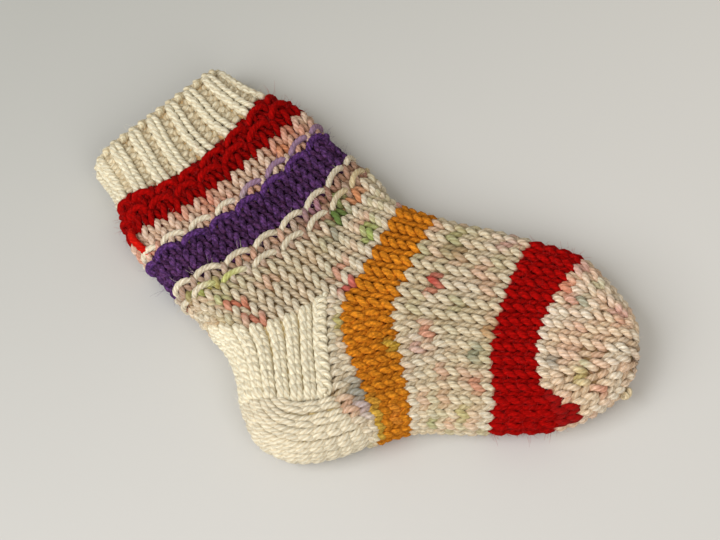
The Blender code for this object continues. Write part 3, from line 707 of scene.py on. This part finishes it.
def colour(section, row, r, q):
    """Yarn colour of every point of a round."""
    u = np.mod(q / NS - turned(r), 4)
    n = len(r)
    rr = np.full(n, float(row))
    if section == "ivory":
        w = wander(31, rr * 32 + u * 8, 6.0)[:, None]
        c = IVORY * (1 + 0.03 * w)
        c = np.where((r > 6.95)[:, None], RED, c)
    elif section in ("red", "redtoe"):
        w = wander(33, rr * 32 + u * 8, 5.0)[:, None]
        c = RED * (1 + 0.10 * w)
    elif section == "purple":
        w = wander(35, rr * 32 + u * 8, 3.0)[:, None]
        c = PURPLE * (1 + 0.28 * w)
    elif section == "gold":
        w = wander(37, rr * 32 + u * 8, 5.0)[:, None]
        w2 = wander(38, rr * 32 + u * 8, 1.3)[:, None]
        c = GOLD * (1 + 0.16 * w) * (1 + 0.16 * w2) ** np.array([0.7, 1.0, 1.3])
    elif section == "peach":
        w = np.clip(wander(39, rr * 32 + u * 8, 1.1) * 1.1 + 0.80, 0, 1)[:, None]
        c = srgb(222, 172, 148) * (1 - 0.9 * w) + WHITE * np.array([1.0, 0.95, 0.95]) * 0.9 * w
    elif section == "rose":
        # painted shadow: the pale leg stitches under the carried strands are painted darker (0.62, 0.45, 0.8) for the
        # shadow of the floats
        c = variegated(rr, u, PINKISH * 0.62, ROSE * 0.45, PALE * 0.8, 15)
    elif section == "toe":
        c = variegated(rr, u, srgb(228, 204, 172), PINKISH, srgb(214, 176, 150), 25)
    elif section == "vari":
        c = variegated(rr, u, PALE * 0.45 + WHITE * 0.55, GREY, PINKISH * 0.5 + PALE * 0.5)
    else:
        c = variegated(rr, u, PALE * 0.7 + WHITE * 0.3)
    c = spots(c, rr, u) * TONE_AND_SHADE.get(section, 1.0)
    if section in EDGES:
        # loops that reach through a neighbour of another colour take that colour, as the fabric hides them
        before, after, first, last = EDGES[section]
        c = np.where((r < first)[:, None], before, c) if before is not None else c
        c = np.where((r > last)[:, None], after, c) if after is not None else c
    if section == "gold":
        # the gold yarn starts with a short yellow-green length under the heel side
        g = (1 - smooth(1.4, 3.2, u * 8))[:, None] * (row < 28)
        c = c * (1 - 0.55 * g) + LIME * 0.55 * g
    if section == "toe" and row < 45:
        # the red yarn ends a little later near the sole fold
        at = np.where(u > 3, u - 4, u) * 8
        k = ((at > -0.6) & (at < (2.9 if row < 44 else 1.9)))[:, None] * 1.0
        c = c * (1 - k) + RED * 0.86 * k
    return c


# ---------------------------------------------------------------- material
def wool(name, base, rough=0.92, sheen=0.25, spec=0.12, dark=0.62, light=1.32, fleck=(0.86, 1.12)):
    mat = bpy.data.materials.new(name)
    mat.use_nodes = True
    nt = mat.node_tree
    nt.nodes.clear()
    N = nt.nodes.new
    L = nt.links.new
    out = N("ShaderNodeOutputMaterial")
    bsdf = N("ShaderNodeBsdfPrincipled")
    L(bsdf.outputs[0], out.inputs[0])
    bsdf.inputs["Roughness"].default_value = rough
    bsdf.inputs["Specular IOR Level"].default_value = spec
    bsdf.inputs["Sheen Roughness"].default_value = 0.45
    bsdf.inputs["Sheen Tint"].default_value = (*[min(1.0, x * 1.35 + 0.06) for x in base], 1.0)
    tint = N("ShaderNodeAttribute")
    tint.attribute_name = "tint"
    tone = N("ShaderNodeRGBToBW")
    L(tint.outputs["Color"], tone.inputs[0])
    hair = N("ShaderNodeMath")
    hair.operation = "MULTIPLY"
    hair.inputs[1].default_value = sheen * 1.6
    hair.use_clamp = True
    L(tone.outputs[0], hair.inputs[0])
    L(hair.outputs[0], bsdf.inputs["Sheen Weight"])
    ply = N("ShaderNodeAttribute")
    ply.attribute_name = "ply"
    mp = N("ShaderNodeMapping")
    mp.inputs["Scale"].default_value = (4.2, 4.2, 0.75)
    L(ply.outputs["Vector"], mp.inputs["Vector"])
    fib = N("ShaderNodeTexNoise")
    fib.inputs["Scale"].default_value = 1.0
    fib.inputs["Detail"].default_value = 3.0
    fib.inputs["Roughness"].default_value = 0.62
    L(mp.outputs["Vector"], fib.inputs["Vector"])
    geo = N("ShaderNodeTexCoord")
    fine = N("ShaderNodeTexNoise")
    fine.inputs["Scale"].default_value = 2600.0
    fine.inputs["Detail"].default_value = 2.0
    L(geo.outputs["Object"], fine.inputs["Vector"])
    ramp = N("ShaderNodeMapRange")
    ramp.inputs["From Min"].default_value = 0.28
    ramp.inputs["From Max"].default_value = 0.72
    ramp.inputs["To Min"].default_value = dark
    ramp.inputs["To Max"].default_value = light
    L(fib.outputs["Fac"], ramp.inputs["Value"])
    mul = N("ShaderNodeVectorMath")
    mul.operation = "SCALE"
    L(tint.outputs["Color"], mul.inputs[0])
    L(ramp.outputs["Result"], mul.inputs["Scale"])
    spot = N("ShaderNodeTexNoise")
    spot.inputs["Scale"].default_value = 1150.0
    spot.inputs["Detail"].default_value = 2.0
    spot.inputs["Roughness"].default_value = 0.6
    L(geo.outputs["Object"], spot.inputs["Vector"])
    heather = N("ShaderNodeMapRange")
    heather.inputs["From Min"].default_value = 0.36
    heather.inputs["From Max"].default_value = 0.66
    heather.inputs["To Min"].default_value = fleck[0]
    heather.inputs["To Max"].default_value = fleck[1]
    L(spot.outputs["Fac"], heather.inputs["Value"])
    mul2 = N("ShaderNodeVectorMath")
    mul2.operation = "SCALE"
    L(mul.outputs["Vector"], mul2.inputs[0])
    L(heather.outputs["Result"], mul2.inputs["Scale"])
    L(mul2.outputs["Vector"], bsdf.inputs["Base Color"])
    add = N("ShaderNodeMath")
    add.operation = "MULTIPLY_ADD"
    add.inputs[1].default_value = 0.35
    L(fine.outputs["Fac"], add.inputs[0])
    L(fib.outputs["Fac"], add.inputs[2])
    bump = N("ShaderNodeBump")
    bump.inputs["Strength"].default_value = 0.75
    bump.inputs["Distance"].default_value = 0.00022
    L(add.outputs["Value"], bump.inputs["Height"])
    L(bump.outputs["Normal"], bsdf.inputs["Normal"])
    return mat


MATS = {
    "ivory_wool": wool("ivory_wool", (0.80, 0.74, 0.60), fleck=(0.93, 1.07)),
    "red_wool": wool("red_wool", (0.42, 0.012, 0.010), sheen=0.5, spec=0.03, dark=0.50, light=1.40,
                     fleck=(0.78, 1.20)),
    "peach_wool": wool("peach_wool", (0.74, 0.52, 0.40)),
    "lilac_wool": wool("lilac_wool", (0.38, 0.28, 0.40)),
    "purple_wool": wool("purple_wool", (0.075, 0.030, 0.110), sheen=0.9, spec=0.06, dark=0.30, light=1.7,
                        fleck=(0.55, 1.95)),
    "gold_wool": wool("gold_wool", (0.55, 0.26, 0.035), sheen=0.25, spec=0.06, dark=0.52, light=1.40,
                      fleck=(0.66, 1.22)),
    "variegated_wool": wool("variegated_wool", (0.62, 0.56, 0.44)),
}

RAD = 0.98


def depth_shade(z, low=0.74, high=0.75):
    """Painted shade: yarn lying at the back of the layer is painted a little darker."""
    return low + (1 - low) * smooth(-0.9, high, z)


def grid_for(row):
    return LEG_G if row < 25.0 else FOOT_G


def knitted(name, slot, section, rows, radius=RAD, low=0.42, high=1.22, **kw):
    y = Yarn()
    for rc, pitch in rows:
        g = grid_for(rc)
        p, r, q, z, leg = knit_path(rc, pitch, g, **kw)
        # the raised leg of every stitch is the fuller one
        rad = radius * (1 + 0.035 * wander(int(rc * 10) + 70, np.arange(len(p)) * 1.0, 11.0) + 0.05 * leg)
        y.strand(p, rad, colour(section, rc, r, q), depth_shade(z, low, high))
    return y


def rounds(a, b, count):
    """Evenly spaced rounds that fill rows a to b."""
    pitch = (b - a) / count
    return [(a + (i + 0.5) * pitch, pitch) for i in range(count)]


def liner_rows(a, b):
    return np.linspace(a, b, max(2, int((b - a) / 0.5) + 1))


QS = np.arange(0, 4 * NS, 2.0)


# painted shade for the gaps: liners take the section colour darkened and warmed by these factors
GAP_SHADE = np.array([0.52, 0.40, 0.27])


def with_liner(y, a, b, base, grid=None, top=-0.15, low=-0.55):
    y.liner(grid or grid_for(a), liner_rows(a, b), QS, np.asarray(base) * GAP_SHADE, top, low)
    return y


# cuff: one knit, one purl, on ivory yarn
y = knitted("cuff", "ivory_wool", "ivory", rounds(0, 7, 7), radius=1.08, low=0.52, high=1.12,
            purl=0, rib_rise=0.50, pinch=0.035, a=0.15, b=0.86, share=1.26)
with_liner(y, 0.1, 6.9, IVORY * 1.7, top=-0.05, low=-0.45)
y.fuzz(2.2, 2.1, 0.038)
y.fuzz(10.0, 2.8, 0.032)
y.make("cuff_rib_stitches", "ribbed_cuff", "ivory_wool", MATS["ivory_wool"])

# cast-on edge: a row of slanted loops round the rim
y = Yarn()
g = LEG_G
path, zz = [], []
for i in range(32):
    t = np.arange(16) / 16 * 2 * np.pi
    x = (i + t / (2 * np.pi) + 0.16 * np.sin(2 * t)) / 8
    yy = -0.22 - 0.30 * (1 - np.cos(t)) / 2
    z = 0.85 * np.sin(t)
    p, n = g.at(yy, np.mod(x + 3, 4) * NS)
    path.append(p + n * (z - DEPTH)[:, None])
    zz.append(z)
path = np.vstack(path)
y.strand(path, RAD, IVORY * 0.9, depth_shade(np.concatenate(zz) + 0.3))
y.make("cast_on_loops", "cast_on_edge", "ivory_wool", MATS["ivory_wool"])

for name, node, slot, section, rows, base in (
        ("red_leg_stitches", "red_float_band", "red_wool", "red", (6.9, 10, 3), RED),
        ("peach_stitches", "peach_band", "peach_wool", "peach", (10, 12.5, 3), PEACH),
        ("purple_stitches", "purple_band", "purple_wool", "purple", (12.5, 16.6, 4), PURPLE),
        ("pale_leg_stitches", "pale_float_band", "variegated_wool", "rose", (16.6, 18.6, 2), PALE),
        ("variegated_leg_stitches", "leg_variegated_band", "variegated_wool", "vari", (18.6, 25, 5), PALE),
        ("gusset_stitches", "gusset_band", "variegated_wool", "vari", (25, 27, 2), PALE),
        ("gold_stitches", "gold_stripe", "gold_wool", "gold", (27, 31, 4), GOLD),
        ("variegated_foot_stitches", "foot_variegated_band", "variegated_wool", "foot", (31, 39, 8), PALE),
        ("red_foot_stitches", "red_toe_stripe", "red_wool", "redtoe", (39, 43, 4), RED),
        ("toe_stitches", "toe_cap", "variegated_wool", "toe", (43, 52, 9), PALE)):
    leg = rows[1] <= 25
    y = knitted(node, slot, section, rounds(*rows), radius=0.89 if leg else RAD,
                low=0.20 if section == "purple" else 0.34 if leg else 0.42)
    if slot in ("red_wool", "purple_wool"):
        y.fuzz(0.80, 2.3, 0.042)
        y.fuzz(7.0, 3.0, 0.034)
    else:
        y.fuzz(2.3, 1.5, 0.034)
        y.fuzz(12.0, 2.2, 0.026)
    with_liner(y, rows[0] + 0.06, rows[1] - 0.06, base)
    y.make(name, node, slot, MATS[slot])


# ---------------------------------------------------------------- strands carried in front
def float_strand(row, phase, radius, shade, bulge=0.52, rise=1.75, base_row=0.0):
    per = 16
    path, rr, uu = [], [], []
    for i in range(16):
        s = np.arange(per if i < 15 else per + 1) / per
        hump = np.sin(np.pi * s)
        x = (2 * (i + s) + phase * 2) / 8.0
        yv = base_row + 0.10 - bulge * hump ** 0.85
        z = -0.55 + (rise + 0.55) * np.minimum(1.0, hump * 1.55) ** 0.9
        r = row + yv
        p, n = LEG_G.at(r, np.mod(x + 3, 4) * NS)
        path.append(p + n * (z - DEPTH)[:, None])
        rr.append(r)
        uu.append(np.mod(x + 3, 4))
    path, rr, uu = np.vstack(path), np.concatenate(rr), np.concatenate(uu)
    y = Yarn()
    y.strand(path, radius, shade(rr, uu))
    return y


def plain(c):
    return lambda r, u: np.broadcast_to(c, (len(r), 3))


def lilac_shade(r, u):
    v = np.minimum(u, 4 - u)
    w = smooth(0.85, 1.15, v)[:, None]
    c = WHITE * (1 - w) + LILAC * w
    return c


def pale_shade(key):
    def f(r, u):
        w = wander(key, u * 8, 1.5)[:, None]
        c = WHITE * (0.88 + 0.05 * w)
        if key == 4:
            # a yellow-green length near the back, beige towards the front fold
            g = np.exp(-((u * 8 - 3.3) / 1.1) ** 4)[:, None]
            c = c * (1 - g) + srgb(196, 200, 128) * g
            g = smooth(10.5, 13.0, np.minimum(u, 4 - u) * 8)[:, None] * 0.7
            c = c * (1 - g) + srgb(206, 186, 140) * g
        return c
    return f


for name, node, slot, row, phase, shade in (
        ("red_strand_upper", "red_float_upper", "red_wool", 7.75, 0.0, plain(RED)),
        ("red_strand_lower", "red_float_lower", "red_wool", 8.85, 0.5, plain(RED * 0.95)),
        ("lilac_strand", "lilac_float", "lilac_wool", 12.1, 0.0, lilac_shade),
        ("purple_strand", "purple_float", "purple_wool", 12.95, 0.5, plain(PURPLE * 1.15)),
        ("pale_strand_upper", "pale_float_upper", "variegated_wool", 16.8, 0.0, pale_shade(3)),
        ("pale_strand_lower", "pale_float_lower", "variegated_wool", 18.4, 0.5, pale_shade(4))):
    y = float_strand(row, phase, 1.02 if slot in ("red_wool", "purple_wool") else 0.90, shade)
    y.fuzz(1.0, 2.3, 0.038)
    y.make(name, node, slot, MATS[slot])


# ---------------------------------------------------------------- heel
HEEL = IVORY * np.array([1.0, 1.03, 1.11])
# painted shade for the heel gaps: a darker, warmer ivory on the heel liners
HEEL_GAP_SHADE = IVORY * np.array([0.78, 0.68, 0.48])


def patch_stitches(grid, cols, rows, shift_half, a, b, d, pinch, rad, width_share=1.0, tint=HEEL, skew=0.04,
                   low=0.74, tilt=0.0):
    """Flat knitting back and forth on a heel patch."""
    y = Yarn()
    side = grid.side
    seg = 20
    t0 = np.arange(seg) * 2 * np.pi / seg
    for ri, rc in enumerate(rows):
        Q, R, Z = [], [], []
        for i in range(cols):
            t = t0 if i < cols - 1 else np.append(t0, 2 * np.pi)
            jx, jy, jz = rng.normal(0, 0.03, 3)
            w = np.sin(t / 2) ** 2
            x = t / (2 * np.pi) + a * np.sin(2 * t) + pinch * np.sin(t) + skew * np.cos(t) + jx * w
            yy = -b * np.cos(t) + jy * w + shift_half * (0.5 if i % 2 else 0.0)
            z = -d * np.cos(2 * t) + tilt * np.sin(t) + jz * 2 * w
            Q.append(((i + x) / cols * 2 * width_share + (1 - width_share)) * side)
            R.append(rc + yy)
            Z.append(z)
        q, r, z = np.concatenate(Q), np.concatenate(R), np.concatenate(Z)
        p, n = grid.at(r, q)
        p = p + n * (z - DEPTH)[:, None]
        w = wander(90 + ri, np.arange(len(p)) * 1.0, 23.0)[:, None]
        y.strand(p, rad, tint * (1 + 0.04 * w), depth_shade(z, low))
    return y


def lanes(grid, count, r0, r1, pitch_mm, radius, tint, low=0.74):
    """Lanes of V stitches running along the rows of a patch; longer lanes hold more stitches."""
    y = Yarn()
    width = 2 * grid.side / count
    rows = np.linspace(r0, r1, 160)
    u = np.linspace(0, 1, 15)
    for i in range(count):
        mid = grid.side + ((i + 0.5) * width - grid.side) * 1.06
        p, _ = grid.at(rows, np.full(160, mid))
        s = np.concatenate([[0], np.cumsum(np.sqrt((np.diff(p, axis=0) ** 2).sum(1)))])
        m = max(3, int(round(s[-1] / pitch_mm)))
        step = s[-1] / m
        for k in range(m):
            jog = rng.normal(0, 0.04, 4)
            for leg, fat in ((-1, 1.0), (1, 0.95)):
                along = (k - 0.42 + 1.62 * u) * step
                r = np.interp(np.clip(along, 0, s[-1]), s, rows)
                x = leg * (0.10 + (0.24 if leg < 0 else 0.20) * u ** 0.8) + jog[0] * 0.5
                z = -0.95 + (1.80 if leg < 0 else 1.72) * np.sin(np.pi * (0.06 + 0.86 * u)) + jog[1]
                q = np.clip(mid + x * width, 0.5, 2 * grid.side - 1.5)
                pp, n = grid.at(r, q)
                c = tint * (1 + 0.03 * jog[2] / 0.04)
                y.strand(pp + n * (z - DEPTH)[:, None], radius * fat, c, depth_shade(z, low))
    return y


y = patch_stitches(FLAP_G, 16, np.arange(0.9, 13.6, 1.5), 0.0, 0.125, 1.22, 0.85, 0.085, 1.10, low=0.93, skew=0.07,
                   tilt=0.22)
# the last loops of the flap are caught by a strand that runs along its lower edge
q = np.linspace(3, 2 * FLAP_G.side - 3, 120)
p, n = FLAP_G.at(np.full(120, 13.75), q)
y.strand(p + n * (-0.55 - DEPTH), 1.25, HEEL * 0.8)
y.liner(FLAP_G, liner_rows(0.3, 14.0), np.linspace(3, 2 * FLAP_G.side - 3, 70), HEEL_GAP_SHADE, 0.25, -0.2)
y.fuzz(2.5, 2.0, 0.036)
y.make("heel_flap_stitches", "heel_flap", "ivory_wool", MATS["ivory_wool"])

y = lanes(TURN_G, 9, 0.0, 12.0, 3.9, 0.97, IVORY * np.array([0.915, 0.925, 1.0]))
for q in (1.0, 2.0 * TURN_G.side - 1.0):
    # the edge loops picked up between the flap and the turn
    rows = np.linspace(0.4, 11.8, 60)
    p, n = TURN_G.at(rows, np.full(60, q))
    y.strand(p + n * (-0.55 - DEPTH), 1.15, HEEL * 0.8)
y.liner(TURN_G, liner_rows(0.0, 11.8), np.linspace(1, 2 * TURN_G.side - 1, 50), HEEL_GAP_SHADE, 0.15, -0.3)
y.fuzz(2.5, 2.0, 0.036)
y.make("heel_turn_stitches", "heel_turn", "ivory_wool", MATS["ivory_wool"])


def chain(grid, name, node, q_mid, sign):
    """Chain of edge loops along the side of the heel flap: two strands that cross at every link."""
    y = Yarn()
    for half in (0, 1):
        j = np.arange(0.2, 13.9, 0.14)
        ph = j * (2 * np.pi / 2.3) + half * np.pi
        q = q_mid + 3.1 * np.sin(ph)
        p, n = grid.at(j, np.full(len(j), 0.0) + q)
        z = 0.35 + 0.75 * np.cos(ph * 1.0)
        y.strand(p + n * (z - DEPTH + 0.55)[:, None], 0.86, HEEL)
    y.make(name, node, "ivory_wool", MATS["ivory_wool"])


chain(FLAP_G, "flap_chain_near_links", "flap_chain_near", 2 * FLAP_G.side - 4.0, 1)
chain(FLAP_G, "flap_chain_far_links", "flap_chain_far", 4.0, -1)

# ---------------------------------------------------------------- loose ends
b9, b11 = hermite(BACK_B, 9.7), hermite(BACK_B, 12.4)
out = np.array([(b11 - b9)[1], -(b11 - b9)[0]])
out = out / np.linalg.norm(out)
if np.dot(out, hermite(FRONT_M, 10.0) - b9) > 0:
    out = -out
path = []
for u in np.linspace(0, 1, 34):
    base = hermite(BACK_B, 9.4 + 2.5 * u)
    off = -2.4 + 1.9 * math.sin(math.pi * u) ** 0.8
    p = base + out * off
    path.append((p[0], p[1], 9.4 + 3.6 * math.sin(math.pi * u) ** 0.7))
y = Yarn()
# painted highlight: the loose loop is painted a brighter, more orange red than the band yarn
y.strand(path, 1.12, srgb(206, 26, 16))
y.make("red_loose_loop", "red_loose_strand", "red_wool", MATS["red_wool"])

k0, k1 = hermite(column(FOOT, 1), 24.6), hermite(column(FOOT, 1), 25.4)
kd = (k1 - k0) / np.linalg.norm(k1 - k0)
ko = np.array([kd[1], -kd[0]])
path = []
for u in np.linspace(0, 1, 40):
    turn = u * 2 * math.pi * 1.6
    p = k0 + kd * (2.6 * u - 0.6 + 0.5 * math.sin(turn)) + ko * (0.7 + 0.75 * math.cos(turn))
    path.append((p[0], p[1], 6.2 + 1.0 * math.sin(turn + 0.6)))
y = Yarn()
y.strand(path, 0.72, PALE * 0.9)
y.make("toe_knot", "toe_yarn_end", "variegated_wool", MATS["variegated_wool"])


# ---------------------------------------------------------------- stage
def floor():
    mesh = bpy.data.meshes.new("floor")
    s = 3.0
    mesh.from_pydata([(-s, -s, 0), (s, -s, 0), (s, s, 0), (-s, s, 0)], [], [(0, 1, 2, 3)])
    ob = bpy.data.objects.new("floor", mesh)
    bpy.context.scene.collection.objects.link(ob)
    mat = bpy.data.materials.new("floor_paper")
    mat.use_nodes = True
    nt = mat.node_tree
    bsdf = nt.nodes["Principled BSDF"]
    bsdf.inputs["Roughness"].default_value = 0.8
    bsdf.inputs["Specular IOR Level"].default_value = 0.1
    tc = nt.nodes.new("ShaderNodeTexCoord")
    # painted light falloff: the floor is painted brighter towards the near side, darker towards the far left
    way = nt.nodes.new("ShaderNodeVectorMath")
    way.operation = "DOT_PRODUCT"
    way.inputs[1].default_value = (2.4, -2.2, 0.0)
    nt.links.new(tc.outputs["Object"], way.inputs[0])
    grade = nt.nodes.new("ShaderNodeMapRange")
    grade.interpolation_type = "SMOOTHSTEP"
    grade.inputs["From Min"].default_value = -0.60
    grade.inputs["From Max"].default_value = 0.22
    nt.links.new(way.outputs["Value"], grade.inputs["Value"])
    mr = nt.nodes.new("ShaderNodeMix")
    mr.data_type = "RGBA"
    mr.inputs["A"].default_value = (0.530, 0.536, 0.518, 1)
    mr.inputs["B"].default_value = (0.640, 0.634, 0.622, 1)
    nt.links.new(grade.outputs["Result"], mr.inputs["Factor"])
    # and painted a little brighter towards the far right
    part = nt.nodes.new("ShaderNodeSeparateXYZ")
    nt.links.new(tc.outputs["Object"], part.inputs[0])
    axes = []
    for key, lo_, hi_ in (("X", -0.115, 0.115), ("Y", -0.07, 0.13)):
        span = nt.nodes.new("ShaderNodeMapRange")
        span.inputs["From Min"].default_value = lo_
        span.inputs["From Max"].default_value = hi_
        span.inputs["To Min"].default_value = -1.0
        span.inputs["To Max"].default_value = 1.0
        nt.links.new(part.outputs[key], span.inputs["Value"])
        axes.append(span.outputs["Result"])

    def madd(a, k, b):
        node = nt.nodes.new("ShaderNodeMath")
        node.operation = "MULTIPLY_ADD"
        nt.links.new(a, node.inputs[0])
        if isinstance(k, float):
            node.inputs[1].default_value = k
        else:
            nt.links.new(k, node.inputs[1])
        if isinstance(b, float):
            node.inputs[2].default_value = b
        else:
            nt.links.new(b, node.inputs[2])
        return node.outputs[0]

    slope = madd(axes[1], 0.0315, 0.0515)
    gain = madd(axes[0], slope, madd(axes[1], 0.0235, 0.9935))
    scale = nt.nodes.new("ShaderNodeVectorMath")
    scale.operation = "SCALE"
    nt.links.new(mr.outputs["Result"], scale.inputs[0])
    nt.links.new(gain, scale.inputs["Scale"])
    nt.links.new(scale.outputs["Vector"], bsdf.inputs["Base Color"])
    mesh.materials.append(mat)


floor()


def area(name, loc, target, size, power, colour_rgb):
    d = bpy.data.lights.new(name, "AREA")
    d.shape = "RECTANGLE"
    d.size, d.size_y = size
    d.energy = power
    d.color = colour_rgb
    ob = bpy.data.objects.new(name, d)
    bpy.context.scene.collection.objects.link(ob)
    ob.location = loc
    ob.rotation_mode = "QUATERNION"
    ob.rotation_quaternion = (Vector(target) - Vector(loc)).to_track_quat("-Z", "Y")
    return ob


area("key", (-0.62, -0.56, 0.74), (0, -0.03, 0), (0.80, 0.80), 9.9, (0.985, 0.990, 0.995))
area("front", (0.30, -0.62, 0.50), (0.03, -0.06, 0), (0.6, 0.6), 3.1, (1.0, 0.985, 0.96))

world = bpy.data.worlds.new("studio")
world.use_nodes = True
world.node_tree.nodes["Background"].inputs[0].default_value = (1.0, 0.935, 0.80, 1)
world.node_tree.nodes["Background"].inputs[1].default_value = 0.385
bpy.context.scene.world = world

scene = bpy.context.scene
scene.view_settings.view_transform = "Standard"
scene.view_settings.look = "None"

cam_data = bpy.data.cameras.new("camera")
cam_data.sensor_width = 36.0
cam_data.lens = 96.25
cam_data.clip_start, cam_data.clip_end = 0.01, 20.0
cam = bpy.data.objects.new("camera", cam_data)
scene.collection.objects.link(cam)
E, ROT, DIST = math.radians(55.0), math.radians(8.0), 0.550
target = Vector((0.0008745, 0.0036309, 0.0))
right = Vector((math.cos(ROT), math.sin(ROT), 0))
ahead = Vector((-math.sin(ROT) * math.cos(E), math.cos(ROT) * math.cos(E), -math.sin(E)))
cam.location = target - ahead * DIST
up = right.cross(ahead)
cam.matrix_world = Matrix((
    (right.x, up.x, -ahead.x, cam.location.x),
    (right.y, up.y, -ahead.y, cam.location.y),
    (right.z, up.z, -ahead.z, cam.location.z),
    (0, 0, 0, 1)))
scene.camera = cam
